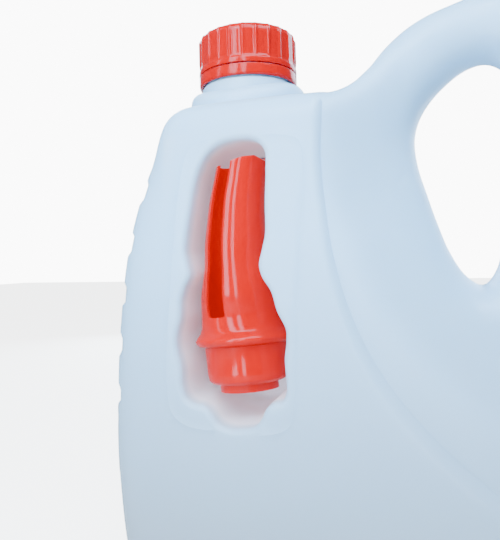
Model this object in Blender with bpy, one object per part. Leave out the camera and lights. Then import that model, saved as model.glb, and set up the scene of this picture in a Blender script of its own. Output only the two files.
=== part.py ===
"""Four-litre detergent bottle: a blow-moulded jug with an arched handle, a screw cap with its
tamper-evident ring, and a pour spout kept in a pocket of the front wall.

Run it with blender --background --python part.py. Sizes are in millimetres and objects are made
in metres. +X runs from the neck side to the handle side, -Y is the front, +Z is up, and the origin
is the middle of the base.
"""

import math

import bmesh
import bpy
import numpy as np
from mathutils import Vector
from mathutils.geometry import delaunay_2d_cdt

MM = 0.001

# ---- Driving dimensions -------------------------------------------------------------------
WALL = 1.5  # thickness of the blow-moulded wall
GAP = 0.3  # clearance kept between pieces that rest on each other

PANEL_DEPTH = 55.0  # half depth of the body at its front and back panels
ARM_DEPTH = 23.0  # half depth where the handle's arms begin
HANDLE_DEPTH = 17.5  # half depth of the handle's grip
PANEL_CROWN = 2.0  # how far the panels fall back towards their ends
STEP_DEPTH = 2.6  # the step along the panel's curved boundary
FALL_RUN = 26.0  # the slope's width, from beyond the step down to the handle's arms
MESH_STEP = 9.0  # point spacing along the body's outline

NECK_X = -42.0
BORE_R = 19.5
NECK_ROOT_R = 22.0
NECK_SKIRT_R = 23.7
LIP_Z = 301.2
SHOULDER_Z = 262.0
PITCH = 4.0
THREAD_TURNS = 1.75
THREAD_HEIGHT = 1.2
THREAD_SIDES = 28  # facets of a thread in one turn
NECK_THREAD_Z = 288.5  # where the neck's thread starts
CAP_THREAD_Z = NECK_THREAD_Z + PITCH / 2  # the cap's starts half a pitch higher, between its turns
SIDES = 48

CAP_TOP_Z = 304.8
CAP_BOTTOM_Z = 285.5
CAP_R = 24.7
CAP_INNER_R = 23.7
RIB_COUNT = 24
RIB_HEIGHT = 0.55
BRIDGE_COUNT = 12

POCKET_FLOOR_Y = -7.6
POCKET_DRAFT = 1.0

SPOUT_AT = (-34.9, -31.9, 155.0)  # the middle of the stored spout's flange
SPOUT_LEAN_X = math.radians(-4.5)  # its plug leans back
SPOUT_LEAN_Y = math.radians(-5.7)  # and towards the neck side
SPOUT_WALL = 1.4
SPOUT_SIDES = 30
SLOT_HEIGHTS = (11, 40, 81)
SLOT_WIDTHS = (9.9, 8.4, 7.4)  # of the drain slot, from its foot to the tip
SLOT_TURNS = (-17.5, -20.5, -23.0)  # its direction there, from the front towards the neck side

# Each stretch of the outline, from the base's left end round by the left side, the shoulder and
# the handle: its edge profile (how far in the rounding reaches, and the superellipse power that
# shapes it), then its knots as (x, z).
BASE = (26.0, 5.0)
SIDE = (38.0, 3.0)
SHOULDER = (22.0, 5.0)
GRIP = (15.0, 2.2)
OUTLINE = [
    (BASE, [(-52, -2), (-70, -2), (-83, 0.5), (-89.5, 6)]),
    (SIDE, [(-93, 14), (-100, 35), (-104.7, 65), (-106.7, 95), (-105.7, 130), (-102.6, 165), (-96.8, 200),
            (-85.7, 232), (-77.5, 246)]),
    (SHOULDER, [(-71.8, 254.5), (-65.5, 259.8), (-56, 262.5), (-40, 263), (-10, 262.5), (0, 262.4)]),
    (GRIP, [(9, 263.5), (15, 267.8), (21, 276.2), (28, 285.8), (36, 293.4), (46, 299), (58, 303), (70, 306),
            (82, 306.8), (92, 303.5), (100.5, 295.5), (105.8, 283), (106.7, 268), (105.2, 245), (103, 220),
            (101.5, 195), (102, 170)]),
    (SIDE, [(104, 145), (106, 120), (106.6, 95), (105, 60), (101, 32), (95, 14)]),
    (BASE, [(91, 6), (84, 0.5), (72, -2), (55, -2), (0, -2)]),
]
# The gap under the handle.
HOLE = [(40.3, 245), (42.3, 254), (47, 262), (54.5, 269.5), (63, 275), (71, 276.5), (77.5, 273), (81, 265),
        (82, 252), (81, 238), (79.5, 220), (77.5, 200), (74.5, 184), (69, 177), (62, 181), (55, 192),
        (50, 205), (45.5, 219), (41.5, 233)]
# The front panel's curved boundary, from the shoulder to the right side.
SWOOSH = [(4.7, 320), (4.7, 262), (4.5, 250), (3.8, 233), (5, 213), (7, 193), (12.4, 169.5), (21, 148.5),
          (32, 131), (45.5, 115.5), (62, 101), (87, 84), (128, 62)]
# The line inside it where the slope to the handle's hollow begins.
HOLLOW = [(8.4, 320), (8.4, 262), (8.4, 243), (9, 227), (11.8, 211.5), (16.5, 198), (23, 183.5),
          (32.5, 167.5), (46, 150), (63, 133), (88, 115), (128, 94)]

# The pocket's outline in the front panel, from its bottom up the left side and down the right one.
POCKET = [(-30, 119.5), (-36, 119.5), (-40.5, 121.5), (-44.5, 126.5), (-47.5, 128.3), (-51, 128.7),
          (-55, 131), (-57, 136), (-57.3, 144), (-59.3, 152.5), (-59.2, 158.5), (-57, 167), (-56.6, 174),
          (-54.5, 180), (-51.9, 185), (-52.8, 190), (-53.9, 195), (-53.3, 201), (-51.3, 211.5),
          (-48.6, 224), (-46, 231), (-42, 237), (-36.5, 240.5), (-28, 241.8), (-20.5, 240.6),
          (-16.5, 236.5), (-16.2, 228), (-16.8, 215), (-17, 202), (-18.5, 195.5), (-20, 189),
          (-18.8, 184), (-15, 178), (-12.5, 169.5), (-9, 162.5), (-8.8, 157), (-9.7, 150), (-9.2, 141),
          (-9.2, 136.5), (-11, 132.8), (-15, 131.5), (-18, 129), (-20.3, 124.5), (-23.5, 121)]

GROOVES = [127.5, 151.8, 176.0, 200.3, 224.5]  # heights of the finger grooves round the left side
GROOVE_R = 12.0
GROOVE_DEPTH = 1.2


# ---- Curves and distances in the plane ----------------------------------------------------
def spline(knots, step, closed=True):
    """Points about step apart along a centripetal Catmull-Rom curve through knots."""
    k = np.array(knots, float)
    ends = (k[[-1]], k[:2]) if closed else (2 * k[:1] - k[1:2], 2 * k[-1:] - k[-2:-1])
    k = np.concatenate([ends[0], k, ends[1]])
    points = []
    for p in (k[i : i + 4] for i in range(len(k) - 3)):
        t = np.concatenate([[0], np.cumsum(np.linalg.norm(np.diff(p, axis=0), axis=1) ** 0.5)])
        u = np.linspace(t[1], t[2], 13)[:-1, None]
        a = [(p[i] * (t[i + 1] - u) + p[i + 1] * (u - t[i])) / (t[i + 1] - t[i]) for i in range(3)]
        b = [(a[i] * (t[i + 2] - u) + a[i + 1] * (u - t[i])) / (t[i + 2] - t[i]) for i in range(2)]
        points.append((b[0] * (t[2] - u) + b[1] * (u - t[1])) / (t[2] - t[1]))
    points = np.concatenate([*points, k[[1]] if closed else k[[-2]]])
    length = np.concatenate([[0], np.cumsum(np.linalg.norm(np.diff(points, axis=0), axis=1))])
    count = max(3, round(length[-1] / step))
    at = np.linspace(0, length[-1], count + 1)
    even = np.stack([np.interp(at, length, points[:, i]) for i in range(2)], axis=1)
    return even[:-1] if closed else even


def distance(points, line):
    """Distance of each point to a polyline."""
    best = np.full(len(points), 1e9)
    for a, b in zip(line[:-1], line[1:]):
        along = np.clip((points - a) @ (b - a) / ((b - a) @ (b - a)), 0, 1)
        best = np.minimum(best, np.linalg.norm(points - a - along[:, None] * (b - a), axis=1))
    return best


def inside(points, loop):
    """Whether each point is inside a closed loop."""
    found = np.zeros(len(points), bool)
    x, z = points.T
    for (ax, az), (bx, bz) in zip(loop, np.roll(loop, -1, axis=0)):
        crosses = (az > z) != (bz > z)
        found ^= crosses & (x < ax + (z - az) * (bx - ax) / (bz - az if bz != az else 1))
    return found


def offset(loop, by):
    """A closed loop moved inwards by a distance, or outwards where it is negative."""
    ahead = np.roll(loop, -1, axis=0) - np.roll(loop, 1, axis=0)
    normal = np.stack([-ahead[:, 1], ahead[:, 0]], axis=1)
    normal /= np.linalg.norm(normal, axis=1)[:, None]
    turn = np.sum(loop[:, 0] * np.roll(loop[:, 1], -1) - loop[:, 1] * np.roll(loop[:, 0], -1))
    return loop + normal * by * math.copysign(1, turn)


def offset_line(line, by):
    """An open line moved to its left, where it runs downwards, by a distance."""
    ahead = np.gradient(line, axis=0)
    return line + by * np.stack([-ahead[:, 1], ahead[:, 0]], axis=1) / np.linalg.norm(ahead, axis=1)[:, None]


def smoothstep(low, high, value):
    t = np.clip((value - low) / (high - low), 0, 1)
    return t * t * (3 - 2 * t)


# ---- The body's shape: a half depth for every point of its front view ------------------------
ALL_KNOTS = [knot for _, knots in OUTLINE for knot in knots]
FINE_OUTLINE = spline(ALL_KNOTS, 2.0)
FINE_HOLE = spline(HOLE, 2.0)
FINE_SWOOSH = spline(SWOOSH, 2.0, closed=False)
FINE_HOLLOW = spline(HOLLOW, 2.0, closed=False)


def edge_parts():
    """Every fine segment of both outlines with the rounding's reach and power beside it."""
    joined = np.concatenate([FINE_OUTLINE, FINE_OUTLINE])
    starts = [int(np.argmin(np.linalg.norm(FINE_OUTLINE - knots[0], axis=1))) for _, knots in OUTLINE]
    starts.append(starts[0] + len(FINE_OUTLINE))
    line = joined[starts[0] : starts[-1] + 1]
    spans = zip(OUTLINE, starts, starts[1:])
    own = np.concatenate([np.tile(profile, (end - start, 1)) for (profile, _), start, end in spans])
    smooth = sum(np.roll(own, shift, axis=0) for shift in range(-8, 9)) / 17
    loop = np.vstack([FINE_HOLE, FINE_HOLE[:1]])
    ends = np.concatenate([line[:-1], loop[:-1]]), np.concatenate([line[1:], loop[1:]])
    return *ends, np.concatenate([smooth, np.tile(GRIP, (len(FINE_HOLE), 1))])


EDGE_FROM, EDGE_TO, EDGE_PROFILE = edge_parts()


def edge_share(points, inset):
    """Share of the full depth near the outlines: a superellipse rounding over a blended distance.

    The distance blends every segment by the fourth power of its nearness, so it has no creases.
    """
    total = np.zeros(len(points))
    profile = np.zeros((len(points), 2))
    for a, b, own in zip(EDGE_FROM, EDGE_TO, EDGE_PROFILE):
        length = np.linalg.norm(b - a)
        along = (points - a) @ (b - a) / length
        off = np.maximum(np.sum((points - a) ** 2, axis=1) - along**2, 1e-4)
        part = 0
        for s, sign in ((length - along, 1), (-along, -1)):
            far = s * s + off
            part = part + sign * (s / (3 * off * far**1.5) + 2 * s / (3 * off**2 * far**0.5))
        part = np.maximum(part, 0)
        total += part
        profile += part[:, None] * own
    reach, power = (profile / total[:, None]).T
    d = (0.75 * total) ** -0.25 - inset
    return (1 - (1 - np.clip(d / (reach - inset), 0, 1)) ** power) ** (1 / power)


def beyond(points, line, corners):
    """Signed distance past a boundary line, positive on the side that the far corners close off."""
    region = np.concatenate([line, corners])
    return np.where(inside(points, region), 1, -1) * distance(points, line)


def ramp(value, run, soft=4.0):
    """Climbs from 0 to 1 over a run, straight but for its soft ends."""
    return ((value + np.hypot(value, soft)) - (value - run + np.hypot(value - run, soft))) / (2 * run)


def panel_depth(points):
    """Half depth before the edges are rounded: the panel, its step, and the slope to the handle."""
    x, z = points.T
    corners = [(300, 60), (300, 400), (4.7, 400)]
    past_step = beyond(points, FINE_SWOOSH, corners)
    past_hollow = beyond(points, FINE_HOLLOW, corners)
    width = np.clip(3 + (220 - z) / 28, 3, 6.5)
    crown = PANEL_CROWN * (((x + 20) / 110) ** 2 + ((z - 140) / 130) ** 2) / 2
    step = STEP_DEPTH * np.clip(past_step / width, 0, 1) ** 2
    slope = (PANEL_DEPTH - STEP_DEPTH - ARM_DEPTH) * ramp(past_hollow, FALL_RUN)
    grip = (ARM_DEPTH - HANDLE_DEPTH) * smoothstep(20, 60, past_hollow)
    return PANEL_DEPTH - crown - step - slope - grip


def half_depth(points, inset):
    """Half depth of the body, or of its hollow where inset is the wall's thickness."""
    return (panel_depth(points) - inset) * edge_share(points, inset)


# ---- Making objects -------------------------------------------------------------------------
def clear_scene():
    for obj in list(bpy.data.objects):
        bpy.data.objects.remove(obj, do_unlink=True)


def material(name, colour, roughness, subsurface=0.0):
    made = bpy.data.materials.new(name)
    made.use_nodes = True
    shader = made.node_tree.nodes["Principled BSDF"]
    shader.inputs["Base Color"].default_value = (*colour, 1)
    shader.inputs["Roughness"].default_value = roughness
    shader.inputs["Metallic"].default_value = 0.0
    shader.inputs["Subsurface Weight"].default_value = subsurface
    made.diffuse_color = (*colour, 1)
    return made


def make_object(name, points, faces, finish=None, place=(0, 0, 0)):
    """A mesh object from millimetre points, faces turned outwards. With no finish it is a cutter."""
    mesh = bpy.data.meshes.new(name)
    mesh.from_pydata([tuple(p) for p in np.asarray(points, float) * MM], [], [tuple(f) for f in faces])
    work = bmesh.new()
    work.from_mesh(mesh)
    bmesh.ops.recalc_face_normals(work, faces=work.faces)
    work.to_mesh(mesh)
    work.free()
    obj = bpy.data.objects.new(name, mesh)
    obj.location = Vector(place) * MM
    bpy.context.scene.collection.objects.link(obj)
    if finish:
        mesh.materials.append(finish)
        mesh.shade_smooth()
        mesh.set_sharp_from_angle(angle=math.radians(35))
    else:
        obj.hide_render = True
        obj.display_type = "WIRE"
    return obj


def boolean(obj, operation, *others):
    for other in others:
        modifier = obj.modifiers.new(f"{operation.lower()} {other.name}", "BOOLEAN")
        modifier.operation = operation
        modifier.solver = "EXACT"
        modifier.object = other


def loft(name, rings, finish=None, place=(0, 0, 0), closed=False):
    """A solid through rings of equally many points, with flat ends, or joined last to first."""
    count = len(rings[0])
    points = np.concatenate([np.asarray(ring, float) for ring in rings])
    pairs = [(i, i + 1) for i in range(len(rings) - 1)] + ([(len(rings) - 1, 0)] if closed else [])
    faces = [
        (a * count + j, a * count + (j + 1) % count, b * count + (j + 1) % count, b * count + j)
        for a, b in pairs
        for j in range(count)
    ]
    if not closed:
        faces.append(tuple(range(count))[::-1])
        faces.append(tuple((len(rings) - 1) * count + j for j in range(count)))
    return make_object(name, points, faces, finish, place)


def circle(radius, z, count=SIDES, centre=(0, 0)):
    turn = np.arange(count) * 2 * math.pi / count
    return np.stack([centre[0] + radius * np.cos(turn), centre[1] + radius * np.sin(turn),
                     np.full(count, float(z))], axis=1)


def turned(name, profile, finish=None, place=(0, 0, 0), closed=False, count=SIDES):
    """A solid of revolution about +Z through (radius, z) points."""
    return loft(name, [circle(r, z, count) for r, z in profile], finish, place, closed)


# ---- Bottle body -----------------------------------------------------------------------------
def slab(name, inset, finish=None):
    """The body without its neck: two half-depth sheets over the front view, joined at the outline."""
    fine = inset == 0
    step = MESH_STEP if fine else 1.4 * MESH_STEP
    rim = offset(spline(ALL_KNOTS, step), inset)
    hole = offset(spline(HOLE, step), -inset)
    rows = []
    for loop, sign in ((rim, 1), (hole, -1)):
        for share, stride in ((0.05, 1), (0.22, 1), (0.55, 1), (1.1, 2)):
            rows.append((offset(loop, sign * share * GRIP[0])[::stride], share * GRIP[0]))
    for line, shifts in ((FINE_SWOOSH, (0, 2.6, 6)), (FINE_HOLLOW, (5, 23))):
        for shift in shifts if fine else ():
            rows.append((offset_line(line, shift)[::5], 3.0))
    spread = 18.0 if fine else 24.0
    grid = np.stack(np.meshgrid(np.arange(-110, 111, spread), np.arange(0, 320, spread)), axis=-1)
    rows.append((grid.reshape(-1, 2), 1.5 * GRIP[0]))
    kept = [rim, hole]
    for row, clear in rows:
        near = np.minimum(*(distance(row, np.vstack([l, l[:1]])) for l in (rim, hole)))
        good = inside(row, rim) & ~inside(row, hole) & (near > 0.9 * clear - 1e-6)
        kept.append(row[good])
    flat = np.concatenate(kept)
    edges = [(i, (i + 1) % len(rim)) for i in range(len(rim))]
    edges += [(len(rim) + i, len(rim) + (i + 1) % len(hole)) for i in range(len(hole))]
    flat, _, triangles, *_ = delaunay_2d_cdt([Vector(p) for p in flat], edges, [], 0, 1e-4, False)
    flat = np.array([tuple(p) for p in flat])
    triangles = np.array(triangles)
    middle = flat[triangles].mean(axis=1)
    triangles = triangles[inside(middle, rim) & ~inside(middle, hole)]
    used = np.unique(triangles)
    on_edge = np.minimum(*(distance(flat, np.vstack([l, l[:1]])) for l in (rim, hole))) < 1e-3
    depth = np.where(on_edge, 0, half_depth(flat, inset))
    front = {int(i): n for n, i in enumerate(used)}
    inner = [int(i) for i in used if not on_edge[i]]
    back = {**front, **{i: len(used) + n for n, i in enumerate(inner)}}
    points = [(flat[i][0], -depth[i], flat[i][1]) for i in used]
    points += [(flat[i][0], depth[i], flat[i][1]) for i in inner]
    faces = [[front[int(i)] for i in t] for t in triangles]
    faces += [[back[int(i)] for i in t[::-1]] for t in triangles]
    return make_object(name, points, faces, finish)


def collar(name, inset):
    """The raised boss that the neck stands on, higher along the mould's parting line than in front."""
    rows = [(30, 29, 250, 250), (30, 29, 268, 272), (29.3, 28.3, 270.5, 275), (27.5, 26.5, 272.3, 277.2),
            (24.5, 24.5, 273.2, 278.2), (22.5, 22.5, 273.2, 278.2)]
    turn = np.arange(SIDES) * 2 * math.pi / SIDES
    rings = [np.stack([(a - inset) * np.cos(turn), (b - inset) * np.sin(turn),
                       low + (high - low) * np.cos(turn) ** 2 - inset], axis=1) for a, b, low, high in rows]
    return loft(name, rings, place=(NECK_X, 0, 0))


def thread(name, wall_r, crest_r, z):
    """A screw ridge on a wall, pointing out or in, with ends that taper into the wall."""
    root_half, crest_half, sunk = 1.05, 0.5, 0.6
    outward = 1 if crest_r > wall_r else -1
    rings = []
    steps = round(THREAD_TURNS * THREAD_SIDES)
    for i in range(steps + 1):
        rise = min(1, i / 3, (steps - i) / 3)
        turn = 2 * math.pi * i / THREAD_SIDES + 0.04
        tip = wall_r - outward * sunk / 2 + (crest_r - wall_r + outward * sunk / 2) * rise
        height = z + PITCH * i / THREAD_SIDES
        rings.append([(r * math.cos(turn), r * math.sin(turn), height + h) for r, h in (
            (wall_r - outward * sunk, -root_half), (tip, -crest_half), (tip, crest_half),
            (wall_r - outward * sunk, root_half))])
    return loft(name, rings, place=(NECK_X, 0, 0))


def neck():
    """The neck finish: skirt, groove for the ring, retaining bead, threaded wall and lip."""
    profile = [(NECK_SKIRT_R, 258), (NECK_SKIRT_R, 278.8), (NECK_ROOT_R, 279.4), (NECK_ROOT_R, 282.2),
               (23.3, 283.2), (23.3, 284.0), (NECK_ROOT_R, 285.4), (NECK_ROOT_R, LIP_Z - 1),
               (NECK_ROOT_R - 0.8, LIP_Z)]
    return turned("neck_outside", profile, place=(NECK_X, 0, 0))


def pocket(name, grow, floor_y):
    """A prism of the pocket's outline, narrowing from the front face to its floor."""
    loop = spline(POCKET, 4.5 if grow == 0 else 6.5)
    rings = []
    for inset, y in ((-grow, -PANEL_DEPTH - 10), (-grow, -PANEL_DEPTH + 4), (POCKET_DRAFT - grow, floor_y)):
        x, z = offset(loop, inset).T
        rings.append(np.stack([x, np.full(len(x), y), z], axis=1))
    return loft(name, rings)


def finger_grooves(name, grow, count=16):
    """Cutters of the finger grooves: pipes bent round the body's left side, lifting off at both ends."""
    left = np.array([p for p in FINE_OUTLINE if p[0] < -60])
    left = left[np.argsort(left[:, 1])]
    into = np.array([0.3, 1, 2.5, 5, 8, 11, 14])
    lift = np.array([0, 0, 0, 0, 0, 0.3, 1.6])
    cutters = []
    for i, z in enumerate(GROOVES):
        x = np.interp(z, left[:, 1], left[:, 0]) + into
        y = -half_depth(np.stack([x, np.full(len(x), z)], axis=1), 0)
        path = np.concatenate([np.stack([x, y], axis=1)[::-1], np.stack([x, -y], axis=1)])
        raise_by = np.concatenate([lift[::-1], lift]) + GROOVE_R - GROOVE_DEPTH
        ahead = np.gradient(path, axis=0)
        out = np.stack([-ahead[:, 1], ahead[:, 0]], axis=1) / np.linalg.norm(ahead, axis=1)[:, None]
        rings = []
        for (px, py), (ox, oy), by in zip(path, out, raise_by):
            turn = np.arange(count) * 2 * math.pi / count
            reach = by + (GROOVE_R + grow) * np.cos(turn)
            rings.append(np.stack([px + ox * reach, py + oy * reach, z + (GROOVE_R + grow) * np.sin(turn)],
                                  axis=1))
        cutters.append(loft(f"{name}_{i + 1}", rings))
    return cutters


def base_cut(name, grow):
    """What levels the base and hollows its middle."""
    below = loft(f"{name}_level", [[(x, y, z) for x, y in ((-130, -80), (130, -80), (130, 80), (-130, 80))]
                                   for z in (-20, grow)])
    turn = np.arange(40) * 2 * math.pi / 40
    rings = []
    for a, b, z in ((76, 34, -5), (76, 34, 0), (72, 30, 2.5)):
        x = np.sign(np.cos(turn)) * np.abs(np.cos(turn)) ** 0.55 * (a + grow)
        y = np.sign(np.sin(turn)) * np.abs(np.sin(turn)) ** 0.55 * (b + grow)
        rings.append(np.stack([x, y, np.full(40, z + grow)], axis=1))
    return below, loft(f"{name}_hollow", rings)


def bottle_body(finish):
    hollow = slab("hollow", WALL)
    bore = turned("bore", [(BORE_R, 255), (BORE_R, LIP_Z + 5)], place=(NECK_X, 0, 0))
    boolean(hollow, "UNION", collar("collar_hollow", WALL), bore)
    boolean(hollow, "DIFFERENCE", pocket("pocket_inside", WALL, POCKET_FLOOR_Y + WALL),
            *finger_grooves("groove_inside", WALL, 12), *base_cut("base_inside", WALL))
    body = slab("bottle_body", 0.0, finish)
    ridge = thread("neck_thread", NECK_ROOT_R, NECK_ROOT_R + THREAD_HEIGHT, NECK_THREAD_Z)
    boolean(body, "UNION", collar("collar_outside", 0.0), neck(), ridge)
    boolean(body, "DIFFERENCE", pocket("pocket_outside", 0.0, POCKET_FLOOR_Y),
            *finger_grooves("groove_outside", 0.0), *base_cut("base_outside", 0.0), hollow)
    return body


# ---- Cap, ring and liner ----------------------------------------------------------------------
def ribbed(radius, z, rib):
    """A ring of the cap's outside: narrow upright ribs with two points on each face between them."""
    points = []
    for i in range(RIB_COUNT):
        start = 2 * math.pi * i / RIB_COUNT
        for share, height in ((-0.075, 0), (-0.035, rib), (0.035, rib), (0.075, 0), (0.5, 0)):
            turn = start + share * 2 * math.pi / RIB_COUNT
            points.append(((radius + height) * math.cos(turn), (radius + height) * math.sin(turn), z))
    return points


def screw_cap(finish):
    """The cap: a ribbed skirt with a flared foot, closed by a flat top, with a screw thread inside."""
    foot_r = CAP_R + RIB_HEIGHT
    ceiling = CAP_TOP_Z - 1.8
    rings = [ribbed(r, z, rib) for r, z, rib in (
        (CAP_INNER_R, ceiling, 0), (CAP_INNER_R, CAP_BOTTOM_Z, 0), (foot_r - 0.2, CAP_BOTTOM_Z, 0),
        (foot_r, CAP_BOTTOM_Z + 0.4, 0), (foot_r, CAP_BOTTOM_Z + 1.2, 0),
        (CAP_R, CAP_BOTTOM_Z + 2.4, RIB_HEIGHT),
        (CAP_R - 0.2, CAP_TOP_Z - 1.8, RIB_HEIGHT), (CAP_R - 0.8, CAP_TOP_Z - 0.6, RIB_HEIGHT),
        (CAP_R - 2.2, CAP_TOP_Z, 0))]
    cap = loft("screw_cap", rings, finish, place=(NECK_X, 0, 0))
    ridge = thread("cap_thread", CAP_INNER_R, CAP_INNER_R - THREAD_HEIGHT, CAP_THREAD_Z)
    boolean(cap, "UNION", ridge)
    return cap


def tamper_ring(finish):
    """The ring that stays on the neck: a band with a retaining lip inside and nubs of the broken bridges."""
    top = CAP_BOTTOM_Z - 0.6
    profile = [(24.2, 279.6), (24.8, 279.8), (25.2, 280.8), (25.2, top), (24.0, top), (24.0, 282.5),
               (22.5, 282.0), (22.5, 281.0), (23.9, 279.6)]
    ring = turned("tamper_evident_ring", profile, finish, place=(NECK_X, 0, 0), closed=True)
    for i in range(BRIDGE_COUNT):
        turn = 2 * math.pi * (i + 0.1) / BRIDGE_COUNT
        out, across = np.array((math.cos(turn), math.sin(turn))), np.array((-math.sin(turn), math.cos(turn)))
        corners = [out * r + across * w for r, w in ((24.3, -0.6), (25.0, -0.6), (25.0, 0.6), (24.3, 0.6))]
        nub = loft(f"bridge_{i + 1}", [[(*c, z) for c in corners] for z in (top - 0.5, top + 0.28)],
                   place=(NECK_X, 0, 0))
        boolean(ring, "UNION", nub)
    return ring


def cap_liner(finish):
    """The foam disc that the cap presses on the lip."""
    bottom = LIP_Z + GAP
    top = CAP_TOP_Z - 1.8 - GAP
    profile = [(23.0, bottom), (23.2, bottom + 0.2), (23.2, top - 0.2), (23.0, top)]
    return turned("cap_liner", profile, finish, place=(NECK_X, 0, 0))


# ---- Pour spout -------------------------------------------------------------------------------
# Each row: radius, height above the flange, and how far its middle is off the plug's axis in x and y.
PLUG_ROWS = [(13.6, -23.4, 0, 0), (13.6, -19.8, 0, 0), (16.8, -19.6, 0, 0), (18.3, -18.2, 0, 0),
             (18.8, -15.5, 0, 0), (19.2, -3, 0, 0), (20.6, -2.6, 0, 0), (22.3, -1.8, 0, 0), (23.2, 0, 0, 0),
             (22.5, 1.4, 0, 0), (20.7, 3.6, 0, -0.1), (19.8, 5.9, 0.1, -0.3)]
TUBE_ROWS = [(19.0, 10.5, 0.2, -1.6), (18.0, 19.7, 1.0, -4.4), (16.2, 27, 1.8, -7), (14.6, 33, 2.4, -9.1),
             (14.0, 42.6, 3.7, -10.9), (13.2, 51.8, 5.2, -12), (12.5, 61, 7.0, -12.9),
             (11.9, 70.2, 9.6, -13.5), (11.5, 77.5, 11.7, -14.1), (11.3, 85, 13.9, -14.6)]
PLUG_BORE = [(13.6, -25, 0, 0), (13.6, -18.4, 0, 0), (18.3, -16.6, 0, 0), (19.0, -3, 0, 0),
             (19.6, 2, 0, 0), (19.4, 6, 0.1, -0.3)]
# The cut across the spout's tip, as (across, height), which also rises towards the back.
TIP = [(-30, 77.3), (-8, 77.3), (-3, 77.6), (1.3, 78.5), (4, 78.9), (8.5, 78.9), (12, 75.5), (30, 75),
       (30, 110), (-30, 110)]
TIP_RISE = 0.15


def spout_rings(rows, inset):
    return [circle(r - inset, z, SPOUT_SIDES, (x, y)) for r, z, x, y in rows]


def spout_slot():
    """The cutter of the drain slot: it follows the tube's middle and reaches out through one side."""
    rings = []
    for _, z, x, y in [(0, 10.3, 0.2, -1.6), *TUBE_ROWS[1:], (0, 95, 17, -15.5)]:
        turn = math.radians(np.interp(z, SLOT_HEIGHTS, SLOT_TURNS))
        out = np.array((math.sin(turn), -math.cos(turn)))
        across = np.array((-out[1], out[0])) * np.interp(z, SLOT_HEIGHTS, SLOT_WIDTHS) / 2
        middle = np.array((x, y))
        corners = (middle - across, middle + across, middle + across + 30 * out, middle - across + 30 * out)
        rings.append([(*corner, z) for corner in corners])
    return loft("spout_slot", rings)


def pour_spout(finish):
    """A hollow plug and flange with a long leaning spout, slotted along one side so that drips run back."""
    spout = loft("pour_spout", spout_rings(PLUG_ROWS + TUBE_ROWS, 0), finish)
    bore = loft("spout_bore", spout_rings(PLUG_BORE + TUBE_ROWS + [(11.3, 95, 17, -15.5)], SPOUT_WALL))
    x, y = TUBE_ROWS[-2][2:]
    tip = loft("spout_tip", [[(x + u, y + v, z + TIP_RISE * v) for u, z in TIP] for v in (-30, 30)])
    slot = spout_slot()
    for child in (bore, tip, slot):
        child.parent = spout
    boolean(spout, "DIFFERENCE", bore, tip, slot)
    spout.location = Vector(SPOUT_AT) * MM
    spout.rotation_euler = (SPOUT_LEAN_X, SPOUT_LEAN_Y, 0)
    return spout


def main():
    clear_scene()
    bottle_body(material("milky_polyethylene", (0.80, 0.84, 0.88), 0.42, 0.3))
    screw_cap(material("red_cap_plastic", (0.80, 0.045, 0.02), 0.25))
    tamper_ring(material("red_ring_plastic", (0.80, 0.045, 0.02), 0.28))
    cap_liner(material("white_foam", (0.85, 0.85, 0.84), 0.8))
    pour_spout(material("red_spout_plastic", (0.80, 0.04, 0.02), 0.22))


main()
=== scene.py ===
"""Looks of the detergent bottle: a fine skin for the jug and its fittings, their plastics, and the set.

Sizes are in millimetres, as in the CAD source, and objects are made in metres. +X runs from the neck
side to the handle side, -Y is the front, +Z is up.
"""

import math

import bmesh
import bpy
import numpy as np
from mathutils import Euler, Matrix, Vector
from mathutils.geometry import delaunay_2d_cdt


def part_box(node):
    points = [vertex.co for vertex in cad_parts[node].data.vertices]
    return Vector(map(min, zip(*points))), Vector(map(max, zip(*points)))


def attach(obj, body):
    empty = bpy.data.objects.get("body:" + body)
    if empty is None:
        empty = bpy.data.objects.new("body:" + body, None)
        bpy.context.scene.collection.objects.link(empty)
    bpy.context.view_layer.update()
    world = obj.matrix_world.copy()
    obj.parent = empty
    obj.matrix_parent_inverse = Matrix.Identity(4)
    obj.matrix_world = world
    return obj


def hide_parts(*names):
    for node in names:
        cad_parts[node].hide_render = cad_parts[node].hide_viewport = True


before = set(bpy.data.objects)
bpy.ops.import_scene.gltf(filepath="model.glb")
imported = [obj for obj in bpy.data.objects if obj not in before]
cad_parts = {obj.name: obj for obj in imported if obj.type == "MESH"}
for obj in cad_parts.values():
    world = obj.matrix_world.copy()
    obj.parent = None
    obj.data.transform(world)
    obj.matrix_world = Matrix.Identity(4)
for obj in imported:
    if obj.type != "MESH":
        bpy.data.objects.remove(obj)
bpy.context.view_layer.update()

MM = 0.001

# ---- Driving dimensions, as in the CAD source ------------------------------------------------
PANEL_DEPTH = 55.0
ARM_DEPTH = 23.0
HANDLE_DEPTH = 17.5
PANEL_CROWN = 2.0
STEP_DEPTH = 2.6
FALL_RUN = 26.0

CAP_LOW, CAP_HIGH = (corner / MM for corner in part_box("screw_cap"))
NECK_X = (CAP_LOW.x + CAP_HIGH.x) / 2
CAP_TOP_Z = CAP_HIGH.z
CAP_BOTTOM_Z = CAP_LOW.z
RIB_HEIGHT = 0.55
CAP_FOOT_R = (CAP_HIGH.x - CAP_LOW.x) / 2
CAP_R = CAP_FOOT_R - RIB_HEIGHT
CAP_INNER_R = CAP_R - 1.0
RIB_COUNT = 24
BRIDGE_COUNT = 12
LIP_GAP = 0.3
LIP_Z = (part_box("cap_liner")[0] / MM).z - LIP_GAP
RING_BOTTOM_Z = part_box("tamper_evident_ring")[0].z / MM

BORE_R = 19.5
NECK_ROOT_R = 22.0
NECK_SKIRT_R = 23.7
PITCH = 4.0
THREAD_TURNS = 1.75
THREAD_HEIGHT = 1.2
NECK_THREAD_Z = 288.5
CAP_THREAD_Z = NECK_THREAD_Z + PITCH / 2

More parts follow.
